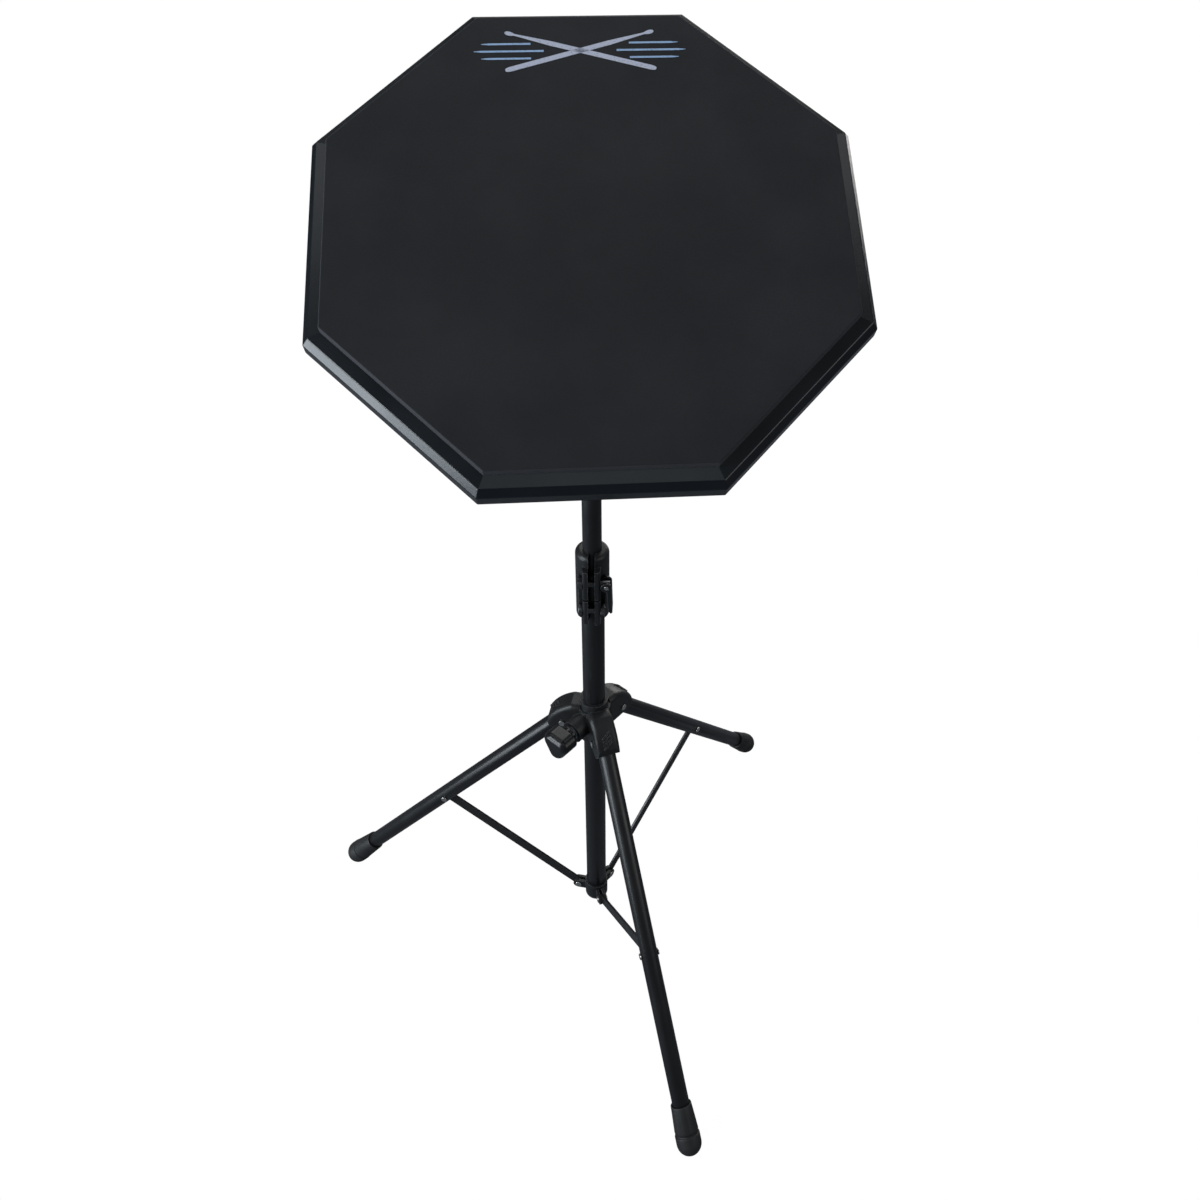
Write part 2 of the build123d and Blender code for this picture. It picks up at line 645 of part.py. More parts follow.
def make_hood(azimuth):
    """One hooded arm of the hub, with a rounded crown and slanting grip ribs near its tip."""
    frame = upright_plane(azimuth)
    with BuildPart() as hood:
        with BuildSketch(frame):
            with BuildLine():
                top = Line((HOOD_ROOT, HOOD_TOP), (HOOD_CROWN_START, HOOD_TOP))
                crown = ThreePointArc(top @ 1, HOOD_CROWN, HOOD_NOSE)
                end = Line(crown @ 1, HOOD_CHEEK[0])
                lower = Line(end @ 1, HOOD_CHEEK[1])
                under = Line(lower @ 1, (HOOD_UNDER_END, HOOD_BOTTOM))
                inner = Line(under @ 1, (HOOD_ROOT, HOOD_BOTTOM))
                Line(inner @ 1, top @ 0)
            make_face()
        extrude(amount=HOOD_HALF_WIDTH, both=True)
        crown_edges = hood.edges().filter_by(GeomType.CIRCLE)
        flat_length = HOOD_CROWN_START - HOOD_ROOT
        level_edges = hood.edges().filter_by_position(Axis.Z, HOOD_TOP, HOOD_TOP)
        top_edges = level_edges.filter_by(lambda edge: abs(edge.length - flat_length) < HOOD_ROUND)
        fillet(crown_edges + top_edges, HOOD_ROUND)
        for number in range(RIB_COUNT):
            share = RIB_START + number * RIB_STEP
            with BuildSketch(rib_plane(frame, crown @ share, crown % share)):
                Rectangle(RIB_LENGTH, RIB_WIDTH, rotation=RIB_SLANT)
            extrude(amount=RIB_HEIGHT, both=True)
    return hood


def make_hub():
    """Plastic hub: barrel around the column, three hooded arms, a threaded boss for the knob."""
    hoods = [make_hood(azimuth) for azimuth in LEG_AZIMUTHS]
    with BuildPart() as hub:
        with BuildSketch(Plane.XY.offset(HUB_BOTTOM)):
            Circle(BARREL_RADIUS)
        extrude(amount=HUB_TOP - BARREL_DROP - HUB_BOTTOM)
        with BuildSketch(Plane.XY.offset(HUB_BOTTOM)):
            Circle(COLLAR_RADIUS)
        extrude(amount=HUB_TOP - HUB_BOTTOM)
        for hood in hoods:
            add(hood.part)
        with BuildSketch(axis_plane(KNOB_AZIMUTH, 0, KNOB_HEIGHT)):
            Circle(BOSS_RADIUS)
        extrude(amount=BOSS_REACH)
        for azimuth in LEG_AZIMUTHS:
            with BuildSketch(upright_plane(azimuth)):
                with Locations((LEG_PIVOT_REACH, LEG_PIVOT_HEIGHT)):
                    Circle(SLOT_ROOF_RADIUS)
                with BuildLine():
                    Polyline(*leg_sweep_profile(), close=True)
                make_face()
            extrude(amount=LEG_SLOT_HALF, both=True, mode=Mode.SUBTRACT)
            with BuildSketch(upright_plane(azimuth, LEG_PIVOT_REACH, LEG_PIVOT_HEIGHT)):
                Circle(LEG_PIN_RADIUS)
            extrude(amount=HOOD_HALF_WIDTH, both=True, mode=Mode.SUBTRACT)
        with BuildSketch(Plane.XY.offset(HUB_BOTTOM)):
            Circle(LOWER_TUBE_RADIUS + RUN_GAP)
        extrude(amount=HUB_TOP - HUB_BOTTOM, mode=Mode.SUBTRACT)
        with BuildSketch(axis_plane(KNOB_AZIMUTH, 0, KNOB_HEIGHT)):
            Circle(STUD_RADIUS + RUN_GAP)
        extrude(amount=BOSS_REACH, mode=Mode.SUBTRACT)
        with BuildSketch(axis_plane(KNOB_AZIMUTH, BOSS_REACH, KNOB_HEIGHT)):
            RegularPolygon(radius=NUT_FLAT / 2, side_count=6, major_radius=False)
        extrude(amount=-NUT_THICK, mode=Mode.SUBTRACT)
    save(hub, "hub")


def make_hub_knob():
    """Three-cornered knob, its stud, the nylon tip that presses on the column, and the captive nut."""
    with BuildPart() as knob:
        with BuildSketch(axis_plane(KNOB_AZIMUTH, KNOB_INNER, KNOB_HEIGHT)):
            with PolarLocations(LOBE_REACH, LOBE_COUNT, start_angle=LOBE_START):
                Circle(LOBE_RADIUS)
            make_hull()
        extrude(amount=KNOB_OUTER - KNOB_INNER)
        ends = knob.faces().sort_by(Axis((0, 0, 0), unit(KNOB_AZIMUTH)))
        fillet(ends[-1].edges(), KNOB_ROUND)
        fillet(ends[0].edges(), KNOB_BACK_ROUND)
        with BuildSketch(axis_plane(KNOB_AZIMUTH, KNOB_INNER, KNOB_HEIGHT)):
            Circle(KNOB_NECK_RADIUS)
        extrude(amount=-KNOB_NECK_LENGTH)
        with BuildSketch(axis_plane(KNOB_AZIMUTH, KNOB_INNER - KNOB_NECK_LENGTH, KNOB_HEIGHT)):
            Circle(STUD_RADIUS)
        extrude(amount=KNOB_NECK_LENGTH + KNOB_GRIP, mode=Mode.SUBTRACT)
    save(knob, "hub_knob")

    tip_start = LOWER_TUBE_RADIUS + 2 * RUN_GAP
    stud_start = tip_start + PAD_TIP_THICK
    with BuildPart() as stud:
        with BuildSketch(axis_plane(KNOB_AZIMUTH, stud_start, KNOB_HEIGHT)):
            Circle(STUD_RADIUS)
        extrude(amount=KNOB_INNER + KNOB_GRIP - stud_start)
    save(stud, "knob_stud")

    with BuildPart() as tip:
        with BuildSketch(axis_plane(KNOB_AZIMUTH, tip_start, KNOB_HEIGHT)):
            Circle(STUD_RADIUS - PAD_TIP_LESS)
        extrude(amount=PAD_TIP_THICK)
    save(tip, "pressure_tip")

    with BuildPart() as nut:
        with BuildSketch(axis_plane(KNOB_AZIMUTH, BOSS_REACH, KNOB_HEIGHT)):
            RegularPolygon(radius=NUT_FLAT / 2, side_count=6, major_radius=False)
            Circle(STUD_RADIUS + RUN_GAP, mode=Mode.SUBTRACT)
        extrude(amount=-NUT_THICK)
    save(nut, "captive_nut")


# ---------------------------------------------------------------- legs


def make_leg(number, azimuth):
    """One leg: tube, top plug, pivot pin, rubber foot."""
    inner_radius = LEG_TUBE_RADIUS - TUBE_WALL
    pin_plane = upright_plane(azimuth, LEG_PIVOT_REACH, LEG_PIVOT_HEIGHT)
    rivet_plane = upright_plane(azimuth, BRACE_LEG_REACH, brace_leg_height)
    with BuildPart() as tube:
        with BuildSketch(leg_plane(azimuth, -LEG_TOP_OVER)):
            Circle(LEG_TUBE_RADIUS)
            Circle(inner_radius, mode=Mode.SUBTRACT)
        extrude(amount=LEG_TUBE_END + LEG_TOP_OVER)
        with BuildSketch(pin_plane):
            Circle(LEG_PIN_RADIUS + RUN_GAP)
        extrude(amount=LEG_TUBE_RADIUS, both=True, mode=Mode.SUBTRACT)
        with BuildSketch(rivet_plane):
            Circle(RIVET_RADIUS)
        extrude(amount=LEG_TUBE_RADIUS, both=True, mode=Mode.SUBTRACT)
        # slot in the underside, which the brace swings through
        with BuildSketch(leg_plane(azimuth, brace_along - SLOT_BEFORE)):
            with Locations((-LEG_TUBE_RADIUS, 0)):
                Rectangle(2 * LEG_TUBE_RADIUS, STRIP_THICK + 2 * STRIP_GAP)
        extrude(amount=SLOT_BEFORE + SLOT_BEYOND, mode=Mode.SUBTRACT)
    save(tube, f"leg_tube_{number}")

    with BuildPart() as plug:
        with BuildSketch(leg_plane(azimuth, -LEG_TOP_OVER)):
            Circle(inner_radius)
        extrude(amount=PLUG_DEPTH)
        with BuildSketch(leg_plane(azimuth, -LEG_TOP_OVER)):
            Circle(LEG_TUBE_RADIUS - PLUG_CAP_LESS)
        extrude(amount=-PLUG_CAP_THICK)
        cap_face = plug.faces().sort_by(Axis(leg_plane(azimuth).origin, leg_plane(azimuth).z_dir))[0]
        fillet(cap_face.edges(), PLUG_CAP_ROUND)
        with BuildSketch(pin_plane):
            Circle(LEG_PIN_RADIUS + RUN_GAP)
        extrude(amount=LEG_TUBE_RADIUS, both=True, mode=Mode.SUBTRACT)
    save(plug, f"leg_plug_{number}")

    with BuildPart() as pin:
        with BuildSketch(pin_plane):
            Circle(LEG_PIN_RADIUS)
        extrude(amount=HOOD_HALF_WIDTH, both=True)
        for side in (1, -1):
            with BuildSketch(pin_plane.offset(side * HOOD_HALF_WIDTH)):
                Circle(LEG_PIN_RADIUS + PIN_HEAD_OVER)
            extrude(amount=side * PIN_HEAD_THICK)
    save(pin, f"pivot_pin_{number}")


def make_foot(number, azimuth):
    """Bulb-ended rubber foot, flattened where it stands on the floor."""
    ball_height = FOOT_RADIUS - FOOT_FLAT
    ball_along = (LEG_PIVOT_HEIGHT - ball_height) / leg_cos
    tip = ball_along + FOOT_RADIUS
    mouth = tip - FOOT_LENGTH
    bulge = FOOT_RADIUS * sin(radians(45))
    frame = leg_plane(azimuth)
    turned = Plane(origin=frame.origin, x_dir=frame.x_dir, z_dir=frame.x_dir.cross(frame.z_dir))
    with BuildPart() as foot:
        with BuildSketch(turned):
            with BuildLine():
                start = Line((0, mouth), (LEG_TUBE_RADIUS + FOOT_WALL, mouth))
                flare = Line(start @ 1, (FOOT_RADIUS - FOOT_FLARE_LESS, ball_along - GROOVE_REACH[0]))
                groove_in = Line(flare @ 1, (FOOT_RADIUS - GROOVE_DEPTH, ball_along - GROOVE_REACH[1]))
                groove = Line(groove_in @ 1, (FOOT_RADIUS - GROOVE_DEPTH, ball_along - GROOVE_REACH[2]))
                groove_out = Line(groove @ 1, (FOOT_RADIUS, ball_along - GROOVE_REACH[3]))
                body = Line(groove_out @ 1, (FOOT_RADIUS, ball_along))
                round_end = ThreePointArc(body @ 1, (bulge, ball_along + bulge), (0, tip))
                Line(round_end @ 1, start @ 0)
            make_face()
        revolve(axis=Axis(frame.origin, frame.z_dir))
        with BuildSketch(leg_plane(azimuth, mouth)):
            Circle(LEG_TUBE_RADIUS)
        extrude(amount=LEG_TUBE_END - mouth, mode=Mode.SUBTRACT)
        with BuildSketch(Plane.XY):
            with Locations(unit(azimuth) * (LEG_PIVOT_REACH + ball_along * leg_sin)):
                Circle(4 * FOOT_RADIUS)
        extrude(amount=-2 * FOOT_RADIUS, mode=Mode.SUBTRACT)
    save(foot, f"rubber_foot_{number}")


# ---------------------------------------------------------------- braces and spider


def strip_plane(azimuth):
    """Upright plane through a brace, x along the strip from the leg's rivet to the spider."""
    outward = unit(azimuth)
    origin = outward * BRACE_LEG_REACH + Vector(0, 0, brace_leg_height)
    slope = radians(brace_slope)
    along = outward * -cos(slope) - Vector(0, 0, sin(slope))
    return Plane(origin=origin, x_dir=along, z_dir=outward.cross(Vector(0, 0, 1)))


def make_brace(number, azimuth):
    """Flat strip brace, and the rivet that holds it in the leg's slot."""
    with BuildPart() as brace:
        with BuildSketch(strip_plane(azimuth)):
            with Locations((brace_length / 2, 0)):
                SlotCenterToCenter(brace_length, STRIP_HEIGHT)
            with Locations((0, 0), (brace_length, 0)):
                Circle(RIVET_RADIUS + RUN_GAP, mode=Mode.SUBTRACT)
        extrude(amount=STRIP_THICK / 2, both=True)
    save(brace, f"brace_{number}")

    rivet_plane = upright_plane(azimuth, BRACE_LEG_REACH, brace_leg_height)
    with BuildPart() as rivet:
        with BuildSketch(rivet_plane):
            Circle(RIVET_RADIUS)
        extrude(amount=LEG_TUBE_RADIUS + RIVET_HEAD_THICK / 2, both=True)
        for side in (1, -1):
            with BuildSketch(rivet_plane.offset(side * LEG_TUBE_RADIUS)):
                Circle(BRACE_HEAD_RADIUS)
            extrude(amount=side * RIVET_HEAD_THICK)
    save(rivet, f"brace_rivet_{number}")


def make_spider():
    """Cup on the column's foot with three pairs of ears for the braces, and the rivets."""
    ear_inner = STRIP_THICK / 2 + STRIP_GAP
    ear_outer = ear_inner + SPIDER_EAR_THICK
    ear_radius = SPIDER_EAR_RADIUS
    with BuildPart() as spider:
        with BuildSketch(Plane.XY.offset(SPIDER_BOTTOM)):
            Circle(SPIDER_RADIUS)
        extrude(amount=SPIDER_TOP - SPIDER_BOTTOM)
        fillet(spider.faces().sort_by(Axis.Z)[0].edges(), SPIDER_ROUND)
        for azimuth in LEG_AZIMUTHS:
            for side in (1, -1):
                with BuildSketch(upright_plane(azimuth).offset(side * ear_inner)):
                    with Locations((SPIDER_PIN_REACH, SPIDER_PIN_HEIGHT)):
                        Circle(ear_radius)
                    with Locations((SPIDER_PIN_REACH - ear_radius, SPIDER_PIN_HEIGHT)):
                        Rectangle(2 * ear_radius, 2 * ear_radius)
                extrude(amount=side * SPIDER_EAR_THICK)
        with BuildSketch(Plane.XY.offset(LOWER_TUBE_BOTTOM)):
            Circle(LOWER_TUBE_RADIUS)
        extrude(amount=SPIDER_TOP, mode=Mode.SUBTRACT)
        for azimuth in LEG_AZIMUTHS:
            pin_plane = upright_plane(azimuth, SPIDER_PIN_REACH, SPIDER_PIN_HEIGHT)
            for side in (1, -1):
                with BuildSketch(pin_plane.offset(side * ear_inner)):
                    Circle(RIVET_RADIUS)
                extrude(amount=side * SPIDER_EAR_THICK, mode=Mode.SUBTRACT)
    save(spider, "spider")

    with BuildPart() as rivets:
        for azimuth in LEG_AZIMUTHS:
            pin_plane = upright_plane(azimuth, SPIDER_PIN_REACH, SPIDER_PIN_HEIGHT)
            for side in (1, -1):
                with BuildSketch(pin_plane.offset(side * ear_inner)):
                    Circle(RIVET_RADIUS)
                extrude(amount=side * SPIDER_EAR_THICK)
                with BuildSketch(pin_plane.offset(side * ear_outer)):
                    Circle(RIVET_HEAD_RADIUS)
                extrude(amount=side * RIVET_HEAD_THICK)
    save(rivets, "spider_rivets")


rubber_width = make_board()
make_rubber(rubber_width)
make_pad_mounting()
make_tilt_head()
make_tilt_fork()
make_tilt_hardware()
make_column_tubes()
make_clamp_collar()
make_clamp_bolts()
make_cam_lever()
make_hub()
make_hub_knob()
for leg_number, leg_azimuth in enumerate(LEG_AZIMUTHS, start=1):
    make_leg(leg_number, leg_azimuth)
    make_foot(leg_number, leg_azimuth)
    make_brace(leg_number, leg_azimuth)
make_spider()
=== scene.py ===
import math

import bmesh
import bpy
from mathutils import Matrix, Vector


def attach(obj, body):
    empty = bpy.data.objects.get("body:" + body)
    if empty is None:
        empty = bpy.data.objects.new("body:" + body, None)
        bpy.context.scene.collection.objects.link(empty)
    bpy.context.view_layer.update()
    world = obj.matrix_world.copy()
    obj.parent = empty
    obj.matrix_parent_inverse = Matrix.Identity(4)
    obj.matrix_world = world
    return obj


# Looks of an octagonal drum practice pad on a folding tripod stand.
# Metres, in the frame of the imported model: origin on the floor, +Z up, the player on the -Y side.

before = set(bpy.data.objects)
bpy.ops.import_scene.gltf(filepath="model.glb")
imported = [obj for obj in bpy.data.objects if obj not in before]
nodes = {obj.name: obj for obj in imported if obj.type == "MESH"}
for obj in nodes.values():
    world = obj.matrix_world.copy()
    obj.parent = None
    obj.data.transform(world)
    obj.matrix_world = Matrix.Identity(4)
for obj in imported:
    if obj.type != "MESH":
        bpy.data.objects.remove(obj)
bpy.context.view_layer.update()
MM = 0.001
MICRON = 0.000001

# ---------------------------------------------------------------- sizes repeated from the model

PAD_TILT = math.radians(30.0)
TILT_PIVOT = Vector((0.0, 0.0, 612 * MM))
PAD_UP = Vector((0.0, -math.sin(PAD_TILT), math.cos(PAD_TILT)))
PAD_BACK = Vector((0.0, math.cos(PAD_TILT), math.sin(PAD_TILT)))
RUBBER_TOP = 36 * MM  # above the tilt pivot
LEG_AZIMUTHS = (165.3, 285.3, 45.3)
LEG_ANGLE = math.radians(40.3)
CLAMP_FACING = 264.0
PINCH_BOLT_REACH = 11.6 * MM  # from the column's axis to the bolt through the clamp's lower ears
PINCH_BOLT_HEIGHT = 360 * MM
CLAMP_EAR_WIDTH = 6.0 * MM  # from the slit to the outer face of an ear
KNOB_AZIMUTH = 225.0
KNOB_HEIGHT = 242 * MM


def outward(azimuth):
    """Level unit vector at an azimuth in degrees."""
    turn = math.radians(azimuth)
    return Vector((math.cos(turn), math.sin(turn), 0.0))


def above_floor(height):
    """Point on the column's axis."""
    return Vector((0.0, 0.0, height))


def on_pad(x, y, height=0.0):
    """Point over the pad's middle: x to the right, y up its slope, height above the rubber."""
    return TILT_PIVOT + Vector((x, 0, 0)) + PAD_BACK * y + PAD_UP * (RUBBER_TOP + height)


# ---------------------------------------------------------------- node-building helpers

BEVEL_SAMPLES = 4
EDGE_GAIN = 6.0  # from the turn of the normal at an edge to the strength of its mask
PATTERN_RANGE = (0.3, 0.7)  # holds most values of a random pattern


def scaled(colour, share):
    """Colour with every part multiplied by a share."""
    return tuple(share * part for part in colour)


def mix_shaders(tree, share, first, second):
    """Mix of two shader outputs by a share from 0 to 1."""
    mixer = tree.nodes.new("ShaderNodeMixShader")
    tree.links.new(share, mixer.inputs[0])
    tree.links.new(first, mixer.inputs[1])
    tree.links.new(second, mixer.inputs[2])
    return mixer.outputs[0]


def seen_by_camera(tree):
    """One for what the camera sees directly, zero for reflections and bounced light."""
    return tree.nodes.new("ShaderNodeLightPath").outputs["Is Camera Ray"]


class Shader:
    """A node material under construction. Coordinates are metres in the object's own space."""

    def __init__(self, name):
        self.material = bpy.data.materials.new(name)
        self.material.use_nodes = True
        self.tree = self.material.node_tree
        self.surface = self.tree.nodes["Principled BSDF"]
        coordinates = self.add("ShaderNodeTexCoord")
        self.place = coordinates.outputs["Object"]
        self.normal = coordinates.outputs["Normal"]

    def add(self, kind, **settings):
        """New node with plain settings."""
        made = self.tree.nodes.new(kind)
        for name, value in settings.items():
            setattr(made, name, value)
        return made

    def plug(self, value, socket):
        """Link a socket, or set a plain value."""
        if isinstance(value, bpy.types.NodeSocket):
            self.tree.links.new(value, socket)
        else:
            socket.default_value = value

    def finish_with(self, **values):
        """Set inputs of the surface shader by name, with underscores for spaces."""
        for name, value in values.items():
            self.plug(value, self.surface.inputs[name.replace("_", " ")])
        return self.material

    def calculate(self, operation, first, second):
        """Scalar arithmetic."""
        made = self.add("ShaderNodeMath", operation=operation)
        self.plug(first, made.inputs[0])
        self.plug(second, made.inputs[1])
        return made.outputs[0]

    def plus(self, first, second):
        """Sum of two scalars."""
        return self.calculate("ADD", first, second)

    def minus(self, first, second):
        """Difference of two scalars."""
        return self.calculate("SUBTRACT", first, second)

    def times(self, first, second):
        """Product of two scalars."""
        return self.calculate("MULTIPLY", first, second)

    def dot(self, first, second):
        """Scalar product of two vectors."""
        made = self.add("ShaderNodeVectorMath", operation="DOT_PRODUCT")
        self.plug(first, made.inputs[0])
        self.plug(second, made.inputs[1])
        return made.outputs["Value"]

    def reach_from(self, origin):
        """Distance from a point."""
        made = self.add("ShaderNodeVectorMath", operation="DISTANCE")
        self.plug(self.place, made.inputs[0])
        made.inputs[1].default_value = origin
        return made.outputs["Value"]

    def height(self):
        """Height above the floor, with the object at rest."""
        made = self.add("ShaderNodeSeparateXYZ")
        self.plug(self.place, made.inputs[0])
        return made.outputs["Z"]

    def stretched(self, scale, turn=(0.0, 0.0, 0.0)):
        """Coordinates turned and scaled, to draw a pattern out along one direction."""
        made = self.add("ShaderNodeMapping", vector_type="TEXTURE")
        self.plug(self.place, made.inputs["Vector"])
        made.inputs["Rotation"].default_value = turn
        made.inputs["Scale"].default_value = scale
        return made.outputs[0]

    def noise(self, scale, detail=2.0, roughness=0.5, place=None):
        """Smooth random pattern, 0 to 1."""
        made = self.add("ShaderNodeTexNoise")
        self.plug(place or self.place, made.inputs["Vector"])
        made.inputs["Scale"].default_value = scale
        made.inputs["Detail"].default_value = detail
        made.inputs["Roughness"].default_value = roughness
        return made.outputs[0]

    def cells(self, scale):
        """Distance pattern of random cells."""
        made = self.add("ShaderNodeTexVoronoi", feature="F1")
        self.plug(self.place, made.inputs["Vector"])
        made.inputs["Scale"].default_value = scale
        return made.outputs["Distance"]

    def band(self, value, low, high, start=0.0, end=1.0):
        """Value between low and high, remapped to start..end with a smooth step."""
        made = self.add("ShaderNodeMapRange", interpolation_type="SMOOTHSTEP")
        inputs = {"Value": value, "From Min": low, "From Max": high, "To Min": start, "To Max": end}
        for name, amount in inputs.items():
            self.plug(amount, made.inputs[name])
        return made.outputs[0]

    def spread(self, pattern, start=0.0, end=1.0):
        """Random pattern drawn out over start..end, clipping the few values far from its middle."""
        return self.band(pattern, *PATTERN_RANGE, start, end)

    def blend(self, share, first, second):
        """Colour between two colours."""
        made = self.add("ShaderNodeMix", data_type="RGBA")
        self.plug(share, made.inputs[0])
        for value, socket in ((first, made.inputs[6]), (second, made.inputs[7])):
            self.plug((*value, 1.0) if isinstance(value, tuple) else value, socket)
        return made.outputs[2]

    def relief(self, height, depth, strength, under=None):
        """Surface relief of a given depth in microns, on top of another one."""
        made = self.add("ShaderNodeBump")
        made.inputs["Strength"].default_value = strength
        made.inputs["Distance"].default_value = depth * MICRON
        self.plug(height, made.inputs["Height"])
        if under is not None:
            self.plug(under, made.inputs["Normal"])
        return made.outputs[0]

    def edges(self, radius):
        """Mask of the sharp edges, rounded by a radius in millimetres: how far that turns the normal."""
        soft = self.add("ShaderNodeBevel", samples=BEVEL_SAMPLES)
        soft.inputs["Radius"].default_value = radius * MM
        true = self.add("ShaderNodeNewGeometry").outputs["Normal"]
        turned = self.minus(1.0, self.dot(soft.outputs[0], true))
        return self.calculate("MINIMUM", self.times(turned, EDGE_GAIN), 1.0)


# ---------------------------------------------------------------- materials of the pad

RUBBER_GRAIN = 1150.0
RUBBER_SPECKS = 1500.0
STRUCK_REACH = (35 * MM, 105 * MM)  # polished out to the first distance, fading to the second


def make_pad_rubber():
    """Matt black gum rubber with a fine moulded grain, slightly polished where it is struck."""
    dark = (0.0135, 0.0147, 0.0178)
    light = (0.0205, 0.0217, 0.0250)
    polished = (0.0135, 0.0140, 0.0157)
    die_cut_grey_and_edge_highlight = (0.050, 0.050, 0.056)
    s = Shader("pad_rubber")
    struck = s.band(s.reach_from(on_pad(0, 0)), *STRUCK_REACH, 1.0, 0.0)
    cloud = s.noise(16.0, 3.0, 0.55)
    speck = s.noise(RUBBER_SPECKS)
    bloom = s.band(s.plus(s.times(cloud, 0.75), s.times(speck, 0.25)), 0.35, 0.7)
    colour = s.blend(bloom, dark, light)
    colour = s.blend(s.times(struck, 0.25), colour, polished)
    # the cut sides are painted greyer: partly the die-cut edge's own grey, partly a painted highlight along
    # the rubber's lit edge
    cut_sides_and_highlight = s.band(s.dot(s.normal, tuple(PAD_UP)), 0.55, 0.93, 1.0, 0.0)
    colour = s.blend(s.times(cut_sides_and_highlight, 0.8), colour, die_cut_grey_and_edge_highlight)
    rough = s.minus(s.spread(speck, 0.64, 0.78), s.times(struck, 0.08))
    grain = s.relief(s.cells(RUBBER_GRAIN), 50, 0.55)
    grain = s.relief(s.noise(420.0, 3.0), 60, 0.35, grain)
    return s.finish_with(Base_Color=colour, Roughness=rough, Normal=grain, Specular_IOR_Level=0.26,
                         Sheen_Weight=0.12, Sheen_Roughness=0.35, Sheen_Tint=(0.80, 0.88, 1.0, 1.0))


def make_board_lacquer():
    """Satin black lacquer over fibreboard, thinner along the arrises, a matt black stain underneath."""
    dark = (0.0038, 0.0060, 0.0085)
    light = (0.0055, 0.0085, 0.0120)
    thin = (0.030, 0.032, 0.034)
    stain_dark = (0.0120, 0.0118, 0.0115)
    stain_fleck = (0.0400, 0.0370, 0.0335)
    stain_pool = (0.0110, 0.0110, 0.0112)
    s = Shader("board_lacquer")
    peel = s.noise(330.0)
    fibres = s.noise(900.0, 3.0, 0.6, s.stretched((0.16, 0.16, 1.0)))
    cloud = s.noise(22.0)
    edge = s.edges(0.7)
    colour = s.blend(s.spread(cloud), dark, light)
    worn = s.times(edge, s.band(s.noise(260.0, 3.0), 0.42, 0.6, 0.15, 0.7))
    colour = s.blend(worn, colour, thin)
    rough = s.plus(s.spread(cloud, 0.17, 0.24), s.times(fibres, 0.07))
    # the face that looks down
    under = s.band(s.dot(s.normal, tuple(PAD_UP)), -0.98, -0.90, 1.0, 0.0)
    flecks = s.noise(650.0, 3.0, 0.65, s.stretched((1.0, 2.2, 1.0), (PAD_TILT, 0.0, 0.5)))
    stain = s.blend(s.band(flecks, 0.38, 0.66), stain_dark, stain_fleck)
    stain = s.blend(s.band(s.noise(9.0, 3.0), 0.35, 0.7, 0.0, 0.5), stain, stain_pool)
    colour = s.blend(under, colour, stain)
    rough = s.plus(rough, s.times(under, 0.38))
    relief = s.relief(peel, 40, 0.35)
    relief = s.relief(fibres, 30, 0.35, relief)
    relief = s.relief(s.times(flecks, under), 120, 0.5, relief)
    return s.finish_with(Base_Color=colour, Roughness=rough, Normal=relief, Specular_IOR_Level=0.42,
                         Coat_Weight=0.12, Coat_Roughness=0.12)


def make_ink(name, colour):
    """Screen-printed ink, a little open where the rubber's grain shows through."""
    rubber = (0.020, 0.021, 0.024)
    s = Shader(name)
    gaps = s.band(s.noise(RUBBER_SPECKS), 0.56, 0.72, 0.0, 0.55)
    shade = s.spread(s.noise(140.0), 0.0, 0.22)
    tone = s.blend(gaps, s.blend(shade, colour, scaled(colour, 0.78)), rubber)
    relief = s.relief(s.cells(RUBBER_GRAIN), 40, 0.5)
    return s.finish_with(Base_Color=tone, Roughness=0.62, Normal=relief, Specular_IOR_Level=0.3)


# ---------------------------------------------------------------- materials of the stand


def make_black_tube(name, scuff_turn):
    """Black stove enamel on steel tube: orange peel, dust specks and fine scuffs along the tube."""
    dark = (0.0050, 0.0053, 0.0062)
    scuffed = (0.040, 0.041, 0.044)
    dust = (0.05, 0.05, 0.052)
    steel = (0.20, 0.20, 0.21)
    s = Shader(name)
    peel = s.noise(520.0)
    scuffs = s.noise(1300.0, 2.0, 0.5, s.stretched((1.0, 1.0, 26.0), scuff_turn))
    scuff = s.band(scuffs, 0.66, 0.76)
    specks = s.band(s.cells(420.0), 0.035, 0.075, 1.0, 0.0)
    edge = s.times(s.edges(0.4), s.band(s.noise(500.0), 0.45, 0.6))
    cloud = s.noise(40.0)
    colour = s.blend(cloud, dark, scaled(dark, 1.5))
    colour = s.blend(s.times(scuff, 0.35), colour, scuffed)
    colour = s.blend(s.times(specks, 0.3), colour, dust)
    colour = s.blend(s.times(edge, 0.6), colour, steel)
    rough = s.plus(s.spread(cloud, 0.32, 0.40), s.times(scuff, 0.16))
    relief = s.relief(peel, 40, 0.3)
    relief = s.relief(specks, 30, 0.4, relief)
    return s.finish_with(Base_Color=colour, Roughness=rough, Normal=relief)


def make_black_strip():
    """Black paint on pressed strip steel, rubbed through here and there along the sheared edges."""
    dark = (0.0070, 0.0070, 0.0075)
    light = (0.0120, 0.0122, 0.0128)
    steel = (0.22, 0.22, 0.23)
    s = Shader("black_strip")
    peel = s.noise(700.0)
    edge = s.times(s.edges(0.4), s.band(s.noise(320.0, 3.0), 0.46, 0.60))
    cloud = s.noise(60.0)
    colour = s.blend(cloud, dark, light)
    colour = s.blend(s.times(edge, 0.7), colour, steel)
    rough = s.spread(cloud, 0.30, 0.42)
    return s.finish_with(Base_Color=colour, Roughness=rough, Normal=s.relief(peel, 40, 0.4))


